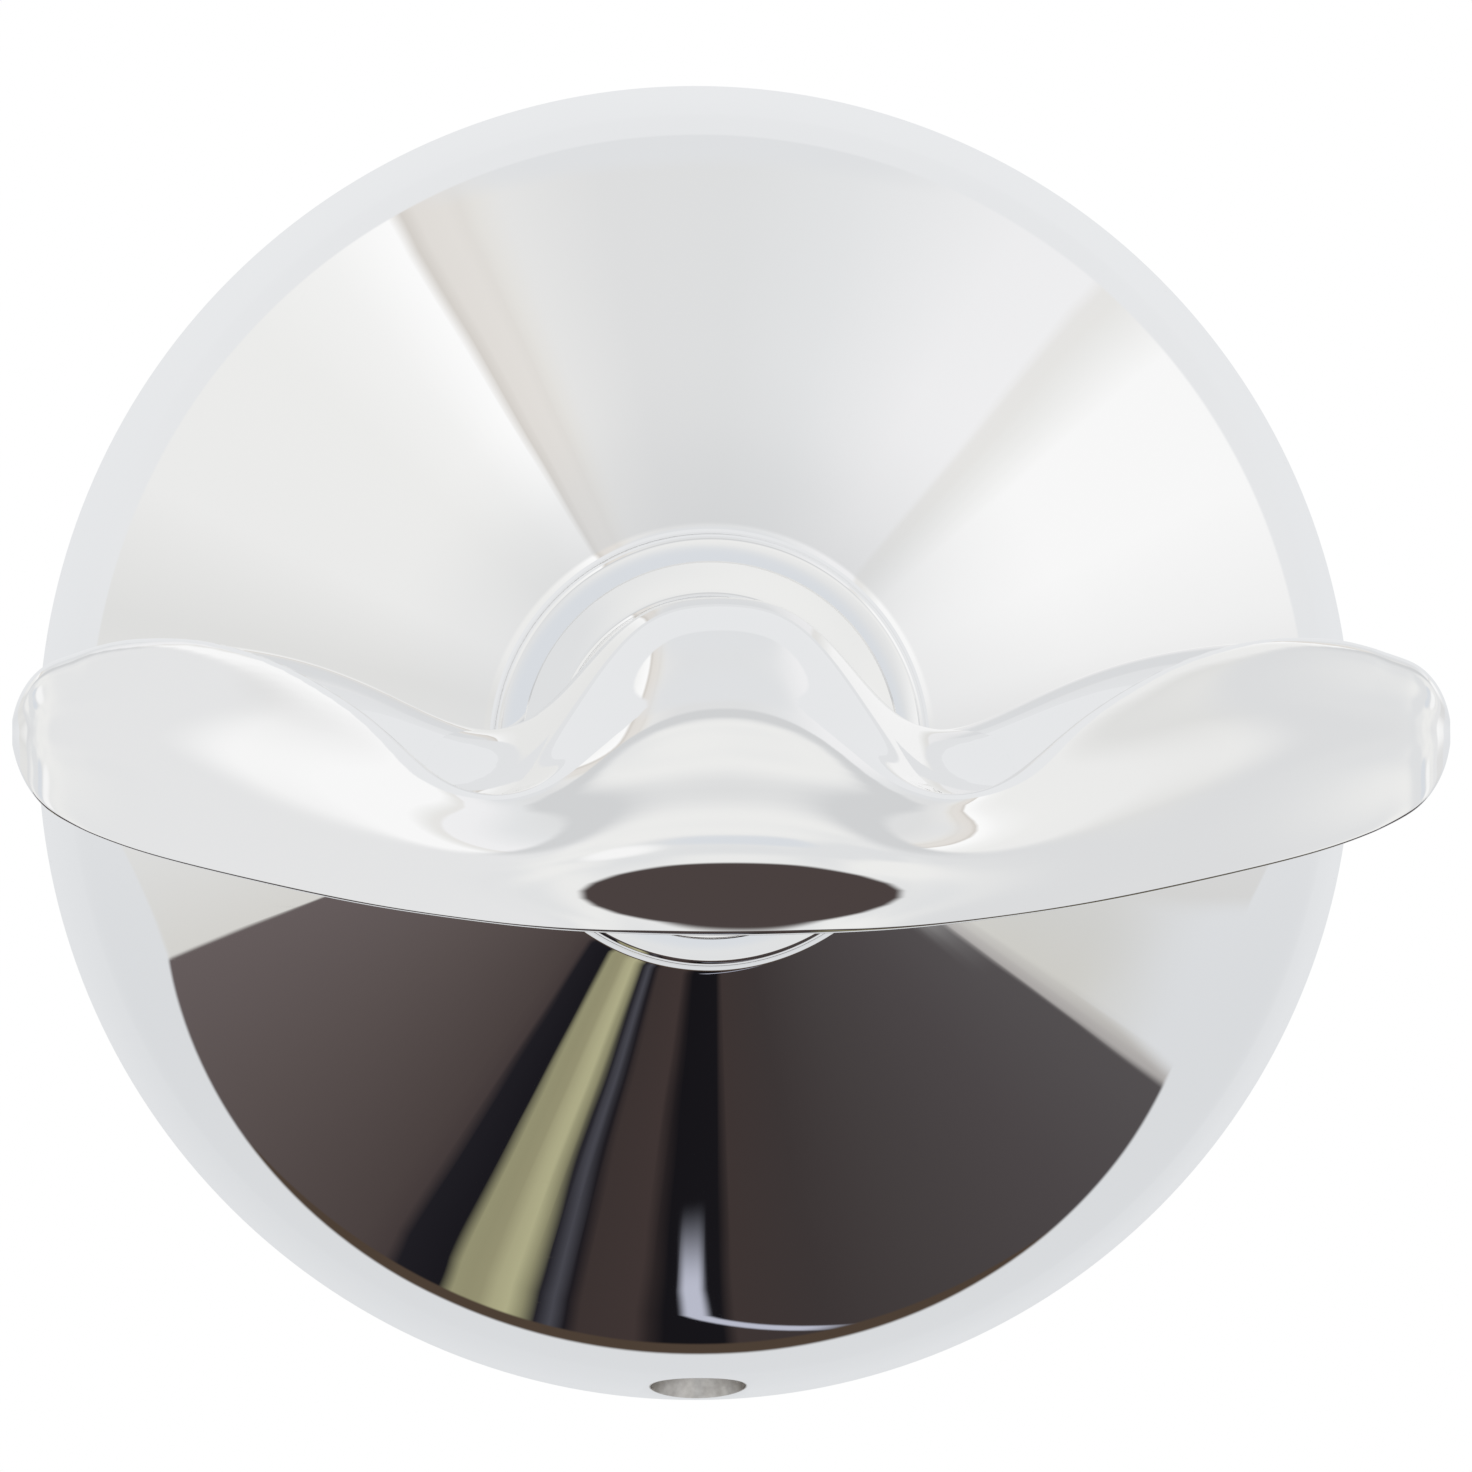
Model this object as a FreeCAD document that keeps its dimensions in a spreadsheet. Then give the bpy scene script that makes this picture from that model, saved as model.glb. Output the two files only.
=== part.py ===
import FreeCAD, Part
import math
import os
import Sketcher
from FreeCAD import Placement, Rotation, Vector

# Double robe hook. The wall is the plane y = 0, +Y points into it, +Z is up, and the hook
# stands out towards -Y. "Depth" is the distance in front of the wall, so depth = -y.
# The origin is the middle of the bracket's back face, on the axis of the hook's stem.

DRIVING = {
    # cover: a flared round shell that hides the bracket
    "flange_diameter": 55.0,
    "flange_edge": 0.6,
    "side_top_diameter": 52.5,
    "side_top_depth": 5.27,
    "shoulder_radius": 3.3,
    "shoulder_diameter": 50.8,
    "shoulder_depth": 6.75,
    "roll_radius": 8.0,
    "cone_foot_diameter": 47.1,
    "cone_foot_depth": 8.13,
    "cone_top_depth": 16.1,
    "shell_thickness": 2.3,
    "rim_thickness": 2.1,
    "skirt_depth": 2.8,
    "collar_diameter": 17.6,
    "collar_step": 1.1,
    "collar_rounding": 0.3,
    "collar_wall": 1.3,
    "collar_depth": 17.6,
    "web_depth": 16.0,
    "web_thickness": 3.0,
    "boss_width": 7.6,
    "boss_back": 0.3,
    "boss_depth": 5.2,
    "boss_inset": 1.6,
    # hook
    "stem_diameter": 12.4,
    "hook_span": 56.2,
    "foot_clearance": 0.03,
    "foot_depth": 17.2,
    "foot_rounding": 0.25,
    "hook_thread_depth": 8.0,
    # screw, washers and pin between cover and hook
    "hook_screw_diameter": 5.0,
    "hook_screw_length": 12.0,
    "hook_screw_head": 9.4,
    "hook_screw_head_height": 3.4,
    "flat_washer_thickness": 1.0,
    "flat_washer_diameter": 10.0,
    "spring_washer_thickness": 1.2,
    "spring_washer_diameter": 9.0,
    "pin_diameter": 2.0,
    "pin_length": 5.0,
    "pin_offset": 4.4,
    "end_clearance": 0.05,
    # set screw in the rim
    "set_screw_diameter": 4.0,
    "set_screw_length": 5.0,
    "set_screw_depth": 3.0,
    "set_screw_inset": 1.8,
    "set_screw_socket": 2.0,
    "thread_clearance": 0.05,
    "tab_clearance": 0.02,
    # wall bracket
    "bracket_width": 16.0,
    "bracket_thickness": 2.0,
    "bracket_corner": 2.0,
    "tab_width": 12.0,
    "tab_thickness": 2.2,
    "tab_height": 5.0,
    # wall screws and anchors
    "wall_screw_spacing": 24.0,
    "wall_screw_diameter": 4.2,
    "wall_screw_length": 30.0,
    "wall_screw_head": 8.0,
    "wall_screw_head_height": 2.8,
    "anchor_diameter": 6.0,
    "anchor_length": 28.0,
    "anchor_collar": 8.0,
    "anchor_collar_thickness": 0.9,
    "rib_start": 10.0,
    "rib_pitch": 2.4,
    "rib_notch": 0.45,
    "split_width": 0.8,
}


SCREW_HOLE_CLEARANCE = 0.2


class Size:
    """A number together with the sheet expression that gives it."""

    def __init__(self, value, text):
        self.value = value
        self.text = text

    def __add__(self, other):
        return Size(self.value + number(other), f"({self.text} + {written(other)})")

    def __sub__(self, other):
        return Size(self.value - number(other), f"({self.text} - {written(other)})")

    def __mul__(self, other):
        return Size(self.value * number(other), f"({self.text} * {written(other)})")

    def __truediv__(self, other):
        return Size(self.value / number(other), f"({self.text} / {written(other)})")

    def __neg__(self):
        return Size(-self.value, f"(-1 * {self.text})")


def number(size):
    return size.value if isinstance(size, Size) else float(size)


def written(size):
    return size.text if isinstance(size, Size) else repr(float(size))


def sheet_of_sizes(document):
    sheet = document.addObject("Spreadsheet::Sheet", "Sizes")
    for row, (alias, value) in enumerate(DRIVING.items(), start=1):
        sheet.set(f"A{row}", alias)
        sheet.set(f"B{row}", str(value))
        sheet.setAlias(f"B{row}", alias)
    document.recompute()
    return sheet


def sized(alias):
    return Size(sizes.get(alias), f"Sizes.{alias}")


# ---- sketches -----------------------------------------------------------------------------


def new_body(name):
    body = doc.addObject("PartDesign::Body", name)
    body.Label = name
    return body


def sketch_on(body, name, role, lift=0.0):
    """An empty sketch on one of the body's planes. XZ_Plane faces the room, along -Y."""
    sketch = body.newObject("Sketcher::SketchObject", name)
    plane = next(o for o in body.Origin.OriginFeatures if o.Role == role)
    sketch.AttachmentSupport = [(plane, "")]
    sketch.MapMode = "FlatFace"
    sketch.AttachmentOffset = Placement(Vector(0, 0, number(lift)), Rotation())
    if isinstance(lift, Size):
        sketch.setExpression("AttachmentOffset.Base.z", lift.text)
    return sketch


def pin_down(sketch, geometry, end, x, y):
    """Fixes one end of a line or arc at x, y."""
    for kind, axis, size in (("DistanceX", -2, x), ("DistanceY", -1, y)):
        if number(size) == 0:
            sketch.addConstraint(Sketcher.Constraint("PointOnObject", geometry, end, axis))
            continue
        index = sketch.addConstraint(
            Sketcher.Constraint(kind, -1, 1, geometry, end, number(size))
        )
        if isinstance(size, Size):
            sketch.setExpression(f"Constraints[{index}]", size.text)


def arc_between(start, end, radius, turn):
    """The short arc from start to end. turn is +1 to bend left and -1 to bend right."""
    chord = end - start
    middle = (start + end) / 2
    reach = math.sqrt(max(0.0, radius**2 - (chord.Length / 2) ** 2))
    centre = middle + Vector(-chord.y, chord.x, 0).normalize() * reach * turn
    first, last = (start, end) if turn > 0 else (end, start)
    angles = [math.atan2(p.y - centre.y, p.x - centre.x) for p in (first, last)]
    return Part.ArcOfCircle(Part.Circle(centre, Vector(0, 0, 1), radius), *angles)


def outline(sketch, corners):
    """A closed outline. A corner is (x, y), or (x, y, radius, turn) when an arc leaves it."""
    points = [Vector(number(c[0]), number(c[1]), 0) for c in corners]
    ends = []
    for index, corner in enumerate(corners):
        start, end = points[index], points[(index + 1) % len(points)]
        if len(corner) == 2:
            line = sketch.addGeometry(Part.LineSegment(start, end))
            ends.append(((line, 1), (line, 2)))
            continue
        radius, turn = corner[2:]
        arc = sketch.addGeometry(arc_between(start, end, number(radius), turn))
        ends.append(((arc, 1), (arc, 2)) if turn > 0 else ((arc, 2), (arc, 1)))
        hold = sketch.addConstraint(Sketcher.Constraint("Radius", arc, number(radius)))
        if isinstance(radius, Size):
            sketch.setExpression(f"Constraints[{hold}]", radius.text)
    for index, corner in enumerate(corners):
        leaving, arriving = ends[index][0], ends[index - 1][1]
        sketch.addConstraint(Sketcher.Constraint("Coincident", *leaving, *arriving))
        pin_down(sketch, *leaving, corner[0], corner[1])


def ring(sketch, x, y, diameter):
    circle = sketch.addGeometry(
        Part.Circle(Vector(number(x), number(y), 0), Vector(0, 0, 1), number(diameter) / 2)
    )
    hold = sketch.addConstraint(Sketcher.Constraint("Diameter", circle, number(diameter)))
    if isinstance(diameter, Size):
        sketch.setExpression(f"Constraints[{hold}]", diameter.text)
    pin_down(sketch, circle, 3, x, y)


def rectangle(sketch, left, bottom, right, top):
    outline(sketch, [(left, bottom), (right, bottom), (right, top), (left, top)])


# ---- features -----------------------------------------------------------------------------


def revolved(body, sketch):
    """Turns a sketch of radius and y about the Y axis."""
    feature = body.newObject("PartDesign::Revolution", sketch.Name + "_turned")
    feature.Profile = sketch
    feature.ReferenceAxis = (sketch, ["V_Axis"])
    feature.Angle = 360
    return finished(body, feature, sketch)


def extruded(body, sketch, kind, length, against):
    """A pad along the sketch's normal or a pocket against it, unless against is set."""
    feature = body.newObject("PartDesign::" + kind, sketch.Name + "_" + kind.lower())
    feature.Profile = sketch
    feature.Length = number(length)
    if isinstance(length, Size):
        feature.setExpression("Length", length.text)
    feature.Reversed = against
    return finished(body, feature, sketch)


def pad(body, sketch, length, against=False):
    return extruded(body, sketch, "Pad", length, against)


def pocket(body, sketch, length, against=False):
    return extruded(body, sketch, "Pocket", length, against)


def finished(body, feature, sketch):
    """Recomputes, and makes sure that the feature changed the solid the way it should."""
    before = body.BaseFeature.Shape.Volume if body.BaseFeature else 0.0
    earlier = [f for f in body.Group if f is not feature and hasattr(f, "AddSubShape")]
    if earlier:
        before = earlier[-1].Shape.Volume
    doc.recompute()
    sketch.Visibility = False
    grew = feature.Shape.Volume - before
    adds = feature.TypeId in ("PartDesign::Revolution", "PartDesign::Pad")
    if abs(grew) < 1e-6 or (grew > 0) != adds:
        raise RuntimeError(f"{feature.Name} changed the volume by {grew:.6f} mm3")
    return feature


def edges_where(feature, wanted):
    """The names of a feature's edges for which wanted(edge) holds."""
    return [f"Edge{i}" for i, e in enumerate(feature.Shape.Edges, start=1) if wanted(e)]


def filleted(body, feature, wanted, radius):
    names = edges_where(feature, wanted)
    if not names:
        raise RuntimeError(f"{feature.Name} has no edge to fillet")
    fillet = body.newObject("PartDesign::Fillet", feature.Name + "_fillet")
    fillet.Base = (feature, names)
    fillet.setExpression("Radius", radius.text)
    doc.recompute()
    return fillet


# ---- cover --------------------------------------------------------------------------------


def cover_profile(body):
    """Half the section of the cover: side, rolled shoulder, cone, collar, web and hollow back."""
    flange = sized("flange_diameter") / 2
    side_top = sized("side_top_diameter") / 2
    shoulder = sized("shoulder_diameter") / 2
    foot = sized("cone_foot_diameter") / 2
    collar = sized("collar_diameter") / 2
    seat = collar - sized("collar_step")
    rounding = sized("collar_rounding")
    hole = sized("hook_screw_diameter") / 2 + SCREW_HOLE_CLEARANCE
    web_back = sized("web_depth") - sized("web_thickness")
    skirt = flange - sized("rim_thickness")
    hollow_foot = sized("cone_foot_depth") - sized("shell_thickness")
    sketch = sketch_on(body, "cover_profile", "XY_Plane")
    outline(
        sketch,
        [
            (flange, 0),
            (flange, -sized("flange_edge")),
            (side_top, -sized("side_top_depth"), sized("shoulder_radius"), -1),
            (shoulder, -sized("shoulder_depth"), sized("roll_radius"), -1),
            (foot, -sized("cone_foot_depth")),
            (collar, -sized("cone_top_depth")),
            (collar, -(sized("collar_depth") - rounding), rounding, -1),
            (collar - rounding, -sized("collar_depth")),
            (seat, -sized("collar_depth")),
            (seat, -sized("web_depth")),
            (hole, -sized("web_depth")),
            (hole, -web_back),
            (collar + sized("collar_wall"), -web_back),
            (foot, -hollow_foot),
            (skirt, -sized("skirt_depth")),
            (skirt, 0),
        ],
    )
    return revolved(body, sketch)


def tab_reach():
    """How far the bracket's tabs reach from the axis: up to the tip of the tight set screw."""
    outer = sized("flange_diameter") / 2
    return (
        outer - sized("set_screw_inset") - sized("set_screw_length") - sized("tab_clearance")
    )


def escutcheon():
    """Cast cover with a guide block at the top and the set screw's boss at the bottom."""
    body = new_body("escutcheon")
    cover_profile(body)
    flange = sized("flange_diameter") / 2
    half = sized("boss_width") / 2
    inner = tab_reach() + sized("tab_clearance")
    outer = flange - sized("boss_inset")
    for name, low, high in (
        ("top_guide", inner, outer),
        ("set_screw_boss", -outer, -inner),
    ):
        block = sketch_on(body, name, "XZ_Plane", sized("boss_back"))
        rectangle(block, -half, low, half, high)
        pad(body, block, sized("boss_depth") - sized("boss_back"))
    # the hole starts 1 mm outside the rim and ends 1 mm inside the boss's inner face
    hole = sketch_on(body, "set_screw_hole", "XY_Plane", -flange - 1)
    ring(hole, 0, -sized("set_screw_depth"), sized("set_screw_diameter"))
    pocket(body, hole, flange + 1 - tab_reach() + 1, against=True)
    pin_hole = sketch_on(body, "pin_hole", "XZ_Plane", sized("web_depth"))
    ring(pin_hole, 0, -sized("pin_offset"), sized("pin_diameter"))
    body.Tip = pocket(body, pin_hole, sized("pin_length") / 2 + sized("end_clearance"))
    return body


# ---- hook ---------------------------------------------------------------------------------

# Cross-sections of one arm, from the middle of the hook outwards. Each is x, then seven points
# (depth, height) round the section: the crisp lower lip, the belly of the front face, the brow
# where the front face folds over, the trough behind it that a loop lies in, the ridge at the
# back, the heel under the ridge, and the sole underneath.
ARM_SECTIONS = (
    (0.0, (32.4, -7.15), (33.4, -3.6), (32.3, 2.0),
     (29.9, 5.1), (25.0, 6.2), (18.0, 0.0), (26.5, -5.8)),
    (4.0, (32.7, -7.05), (33.5, -3.75), (32.5, 0.9),
     (29.8, 3.9), (24.5, 5.1), (18.3, -0.5), (26.6, -5.6)),
    (7.5, (33.9, -6.8), (34.1, -3.9), (32.8, -1.5),
     (29.2, -0.5), (22.5, 1.1), (19.3, -2.0), (26.8, -5.6)),
    (10.5, (35.2, -6.4), (35.05, -3.6), (33.5, -1.5),
     (29.0, -2.0), (22.3, 1.1), (20.3, -1.1), (28.0, -5.1)),
    (14.0, (36.65, -5.85), (36.5, -2.7), (35.1, 1.65),
     (30.0, -0.8), (24.0, 2.8), (21.9, 0.4), (29.8, -4.2)),
    (17.5, (38.2, -5.1), (38.1, -1.7), (37.2, 3.8),
     (32.2, 1.6), (26.7, 4.0), (24.6, 1.9), (32.0, -3.0)),
    (21.0, (39.7, -4.25), (39.6, -0.6), (38.9, 4.8),
     (34.9, 3.4), (30.2, 4.5), (28.3, 2.6), (34.6, -1.6)),
    (24.5, (41.0, -3.2), (40.9, 0.2), (40.3, 4.7),
     (37.4, 4.2), (34.5, 4.2), (33.0, 2.6), (37.0, -0.4)),
    (27.0, (41.75, -2.0), (41.7, 0.5), (41.2, 3.4),
     (39.7, 3.3), (38.4, 2.9), (37.6, 1.6), (39.4, 0.0)),
    (27.6, (41.75, -1.25), (41.7, 0.6), (41.3, 2.7),
     (40.3, 2.6), (39.4, 2.3), (39.0, 1.3), (40.0, 0.1)),
)
# How much of the way towards its neighbours the fold at the brow takes up.
FOLD_SHARE = 0.3
# How far up the front face, from the lip to the belly, it stays straight.
CHIN_SHARE = 0.45
# The stem's rings: depth, share of the stem's radius, and height of the middle.
STEM_RINGS = (
    (16.0, 1.0, 0.0),
    (19.0, 1.0, 0.0),
    (22.0, 0.96, 0.0),
    (26.0, 0.72, -0.3),
)


def arm_section(x, points):
    """The closed wire of one section: the top from lip to heel, and the underside."""
    lip, belly, brow, trough, ridge, heel, sole = [Vector(x, -d, h) for d, h in points]
    cheek = brow + (belly - brow) * FOLD_SHARE
    nape = brow + (trough - brow) * FOLD_SHARE
    chin = lip + (belly - lip) * CHIN_SHARE
    top, under = Part.BSplineCurve(), Part.BSplineCurve()
    top.interpolate([lip, chin, belly, cheek, brow, nape, trough, ridge, heel])
    under.interpolate([heel, sole, lip])
    return Part.Wire([top.toShape(), under.toShape()])


def arms():
    """Both arms and the dome between them, as one loft from tip to tip."""
    scale = sizes.get("hook_span") / 2 / ARM_SECTIONS[-1][0]
    left = [arm_section(-x * scale, points) for x, *points in reversed(ARM_SECTIONS)]
    right = [arm_section(x * scale, points) for x, *points in ARM_SECTIONS[1:]]
    return Part.makeLoft([*left, *right], True, False)


def stem():
    """The round post from the foot, drawn in a little where it runs into the dome."""
    radius = sizes.get("stem_diameter") / 2
    facing_room = Vector(0, -1, 0)
    rings = []
    for depth, share, height in STEM_RINGS:
        circle = Part.Circle(Vector(0, -depth, height), facing_room, radius * share)
        rings.append(Part.Wire([circle.toShape()]))
    return Part.makeLoft(rings, True, False)


def foot():
    """Round disc that sits inside the cover's collar."""
    seat = sizes.get("collar_diameter") / 2 - sizes.get("collar_step")
    back = sizes.get("web_depth")
    front = sizes.get("foot_depth")
    radius = seat - sizes.get("foot_clearance")
    disc = Part.makeCylinder(radius, front - back, Vector(0, -back, 0), Vector(0, -1, 0))
    front_edge = [e for e in disc.Edges if abs(e.CenterOfMass.y + front) < 1e-6]
    return disc.makeFillet(sizes.get("foot_rounding"), front_edge)


def hook_body():
    """The hook as cast, with the thread for its screw and the hole for its pin."""
    back = -sizes.get("web_depth")
    out = Vector(0, -1, 0)
    casting = arms().fuse([stem(), foot()])
    thread_radius = sizes.get("hook_screw_diameter") / 2 + sizes.get("thread_clearance")
    thread = Part.makeCylinder(
        thread_radius, sizes.get("hook_thread_depth"), Vector(0, back, 0), out
    )
    pin_hole = Part.makeCylinder(
        sizes.get("pin_diameter") / 2,
        sizes.get("pin_length") / 2 + sizes.get("end_clearance"),
        Vector(0, back, -sizes.get("pin_offset")),
        out,
    )
    casting = casting.cut([thread, pin_hole])
    if len(casting.Solids) != 1:
        raise RuntimeError("the hook is not one solid")
    feature = doc.addObject("Part::Feature", "hook_body")
    feature.Label = "hook_body"
    feature.Shape = casting.Solids[0]
    return feature


# ---- screw, washers and pin that hold the hook in the cover --------------------------------


def cross_recess(body, name, role, lift, arm, width, depth, against):
    """A plain cross-shaped driver recess, arm long and width wide across each slot."""
    sketch = sketch_on(body, name, role, lift)
    near, far = width / 2, arm / 2
    quarter = [(near, near), (far, near), (far, -near)]
    corners = []
    for _ in range(4):
        corners += quarter
        quarter = [(y, -x) for x, y in quarter]
    outline(sketch, corners)
    return pocket(body, sketch, depth, against)


def washer_seat():
    return sized("web_depth") - sized("web_thickness")


# A washer's hole is this much wider than the screw through it.
FLAT_WASHER_PLAY = 0.4
SPRING_WASHER_PLAY = 0.3


def hook_screw():
    """Pan head machine screw, driven from behind through the cover's web."""
    body = new_body("hook_screw")
    under_head = washer_seat() - sized("flat_washer_thickness") - sized("spring_washer_thickness")
    back = under_head - sized("hook_screw_head_height")
    end = under_head + sized("hook_screw_length")
    shank = sized("hook_screw_diameter") / 2
    head = sized("hook_screw_head") / 2
    crown, crown_radius, head_edge, end_chamfer = 2.2, 2.6, 0.9, 0.6
    sketch = sketch_on(body, "hook_screw_profile", "XY_Plane")
    outline(
        sketch,
        [
            (0, -back),
            (head - crown, -back, crown_radius, -1),
            (head, -(under_head - head_edge)),
            (head, -under_head),
            (shank, -under_head),
            (shank, -(end - end_chamfer)),
            (shank - end_chamfer, -end),
            (0, -end),
        ],
    )
    revolved(body, sketch)
    recess_arm, recess_width, recess_depth = 5.0, 1.3, 2.0
    body.Tip = cross_recess(
        body, "driver_recess", "XZ_Plane", back, recess_arm, recess_width, recess_depth, True
    )
    return body


def flat_washer():
    body = new_body("flat_washer")
    sketch = sketch_on(body, "flat_ring", "XZ_Plane", washer_seat() - sized("flat_washer_thickness"))
    ring(sketch, 0, 0, sized("flat_washer_diameter"))
    ring(sketch, 0, 0, sized("hook_screw_diameter") + FLAT_WASHER_PLAY)
    body.Tip = pad(body, sketch, sized("flat_washer_thickness"))
    return body


def spring_washer():
    """Split lock washer, squeezed flat, with its cut to one side."""
    body = new_body("spring_washer")
    back = washer_seat() - sized("flat_washer_thickness") - sized("spring_washer_thickness")
    sketch = sketch_on(body, "spring_ring", "XZ_Plane", back)
    ring(sketch, 0, 0, sized("spring_washer_diameter"))
    ring(sketch, 0, 0, sized("hook_screw_diameter") + SPRING_WASHER_PLAY)
    pad(body, sketch, sized("spring_washer_thickness"))
    cut = sketch_on(body, "split", "XZ_Plane", back)
    near = sized("hook_screw_diameter") / 2 - 1
    far = sized("spring_washer_diameter") / 2 + 1
    gap, slant = 0.7, 0.4
    outline(
        cut,
        [
            (near, -gap / 2 - slant / 2),
            (far, -gap / 2 + slant / 2),
            (far, gap / 2 + slant / 2),
            (near, gap / 2 - slant / 2),
        ],
    )
    body.Tip = pocket(body, cut, sized("spring_washer_thickness"), against=True)
    return body


def locating_pin():
    """Dowel that keeps the hook from turning in the cover."""
    body = new_body("locating_pin")
    pin_play = 0.02
    radius = sized("pin_diameter") / 2 - pin_play
    back = sized("web_depth") - sized("pin_length") / 2
    front = sized("web_depth") + sized("pin_length") / 2
    sketch = sketch_on(body, "pin_profile", "XY_Plane")
    chamfer = 0.3
    outline(
        sketch,
        [
            (0, -back),
            (radius - chamfer, -back),
            (radius, -(back + chamfer)),
            (radius, -(front - chamfer)),
            (radius - chamfer, -front),
            (0, -front),
        ],
    )
    body.Tip = revolved(body, sketch)
    body.setExpression("Placement.Base.z", "-Sizes.pin_offset")
    return body


# ---- set screw ----------------------------------------------------------------------------


def set_screw():
    """Socket set screw in the bottom of the rim. It grips the bracket's lower tab."""
    body = new_body("set_screw")
    radius = sized("set_screw_diameter") / 2 - sized("thread_clearance")
    outer_end = sized("flange_diameter") / 2 - sized("set_screw_inset")
    point = outer_end - sized("set_screw_length")
    end_chamfer, point_chamfer = 0.3, 0.7
    sketch = sketch_on(body, "set_screw_profile", "XZ_Plane")
    outline(
        sketch,
        [
            (0, -outer_end),
            (radius - end_chamfer, -outer_end),
            (radius, -(outer_end - end_chamfer)),
            (radius, -(point + point_chamfer)),
            (radius - point_chamfer, -point),
            (0, -point),
        ],
    )
    revolved(body, sketch)
    socket = sketch_on(body, "socket", "XY_Plane", -outer_end)
    corner = sized("set_screw_socket") / math.sqrt(3)
    turns = [math.radians(60 * side) for side in range(6)]
    outline(socket, [(corner * math.cos(a), corner * math.sin(a)) for a in turns])
    body.Tip = pocket(body, socket, sized("set_screw_socket"), against=True)
    body.setExpression("Placement.Base.y", "-Sizes.set_screw_depth")
    return body


# ---- bracket, wall screws and anchors ------------------------------------------------------


def runs_along_y(edge):
    start, end = edge.Vertexes[0].Point, edge.Vertexes[-1].Point
    return abs(start.x - end.x) < 1e-6 and abs(start.z - end.z) < 1e-6


def wall_bracket():
    """A flat strap with a straight tab at each end, screwed to the wall."""
    body = new_body("wall_bracket")
    reach = tab_reach()
    half = sized("bracket_width") / 2
    plate = sketch_on(body, "strap", "XZ_Plane")
    rectangle(plate, -half, -reach, half, reach)
    strap = pad(body, plate, sized("bracket_thickness"))
    body.Tip = filleted(body, strap, runs_along_y, sized("bracket_corner"))
    side = sized("tab_width") / 2
    inside = reach - sized("tab_thickness")
    for name, low, high in (("upper_tab", inside, reach), ("lower_tab", -reach, -inside)):
        tab = sketch_on(body, name, "XZ_Plane")
        rectangle(tab, -side, low, side, high)
        pad(body, tab, sized("tab_height"))
    holes = sketch_on(body, "screw_holes", "XZ_Plane", sized("bracket_thickness"))
    up = sized("wall_screw_spacing") / 2
    hole_play = 0.6
    across = sized("wall_screw_diameter") + hole_play
    ring(holes, 0, up, across)
    # the lower hole is a short slot, for levelling
    slide = 1.2
    slot_end = across * 0.52
    outline(
        holes,
        [
            (slide, -up - across / 2, slot_end, 1),
            (slide, -up + across / 2),
            (-slide, -up + across / 2, slot_end, 1),
            (-slide, -up - across / 2),
        ],
    )
    pocket(body, holes, sized("bracket_thickness"))
    relief = sketch_on(body, "anchor_reliefs", "XZ_Plane")
    side_play, face_play = 0.5, 0.1
    for height in (up, -up):
        ring(relief, 0, height, sized("anchor_collar") + side_play)
    relief_depth = sized("anchor_collar_thickness") + face_play
    body.Tip = pocket(body, relief, relief_depth, against=True)
    return body


def wall_screw(name, height):
    """Pan head wall screw through the bracket into its anchor."""
    body = new_body(name)
    face = sized("bracket_thickness")
    top = face + sized("wall_screw_head_height")
    shank = sized("wall_screw_diameter") / 2
    head = sized("wall_screw_head") / 2
    end = sized("wall_screw_length") - face
    point, crown, crown_radius, head_edge = 5.0, 1.9, 2.4, 0.8
    sketch = sketch_on(body, name + "_profile", "XY_Plane")
    outline(
        sketch,
        [
            (0, end),
            (shank, end - point),
            (shank, -face),
            (head, -face),
            (head, -(face + head_edge), crown_radius, -1),
            (head - crown, -top),
            (0, -top),
        ],
    )
    revolved(body, sketch)
    recess_arm, recess_width, recess_depth = 4.4, 1.1, 1.7
    body.Tip = cross_recess(
        body, name + "_recess", "XZ_Plane", top, recess_arm, recess_width, recess_depth, False
    )
    body.setExpression("Placement.Base.z", written(height))
    return body


def wall_anchor(name, height):
    """Nylon plug: a thin collar, a plain neck, ribs and a split end."""
    body = new_body(name)
    bore_play = 0.03
    bore = sized("wall_screw_diameter") / 2 + bore_play
    collar = sized("anchor_collar") / 2
    outer = sized("anchor_diameter") / 2
    length = sized("anchor_length")
    neck = sized("rib_start")
    pitch = sized("rib_pitch")
    root = outer - sized("rib_notch")
    tip_length, tip_taper = 2.0, 0.5
    ribs = []
    for index in range(6):
        start = neck + pitch * index
        ribs += [(outer, start), (root, start), (outer, start + pitch * 0.9)]
    sketch = sketch_on(body, name + "_profile", "XY_Plane")
    outline(
        sketch,
        [
            (bore, length),
            (bore, -sized("anchor_collar_thickness")),
            (collar, -sized("anchor_collar_thickness")),
            (collar, 0),
            (outer, 0),
            *ribs,
            (outer, length - tip_length),
            (outer - tip_taper, length),
        ],
    )
    revolved(body, sketch)
    split = sketch_on(body, name + "_split", "XY_Plane", -outer)
    half_split = sized("split_width") / 2
    rectangle(split, -half_split, neck + pitch, half_split, length + 1)
    body.Tip = pocket(body, split, sized("anchor_diameter"), against=True)
    body.setExpression("Placement.Base.z", written(height))
    return body


# ---- whole assembly ------------------------------------------------------------------------


def assembly():
    parts = [escutcheon(), hook_body(), hook_screw(), flat_washer(), spring_washer(), locating_pin()]
    parts += [set_screw(), wall_bracket()]
    up = sized("wall_screw_spacing") / 2
    for place, height in (("upper", up), ("lower", -up)):
        parts.append(wall_screw(f"{place}_wall_screw", height))
        parts.append(wall_anchor(f"{place}_wall_anchor", height))
    return parts


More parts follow.
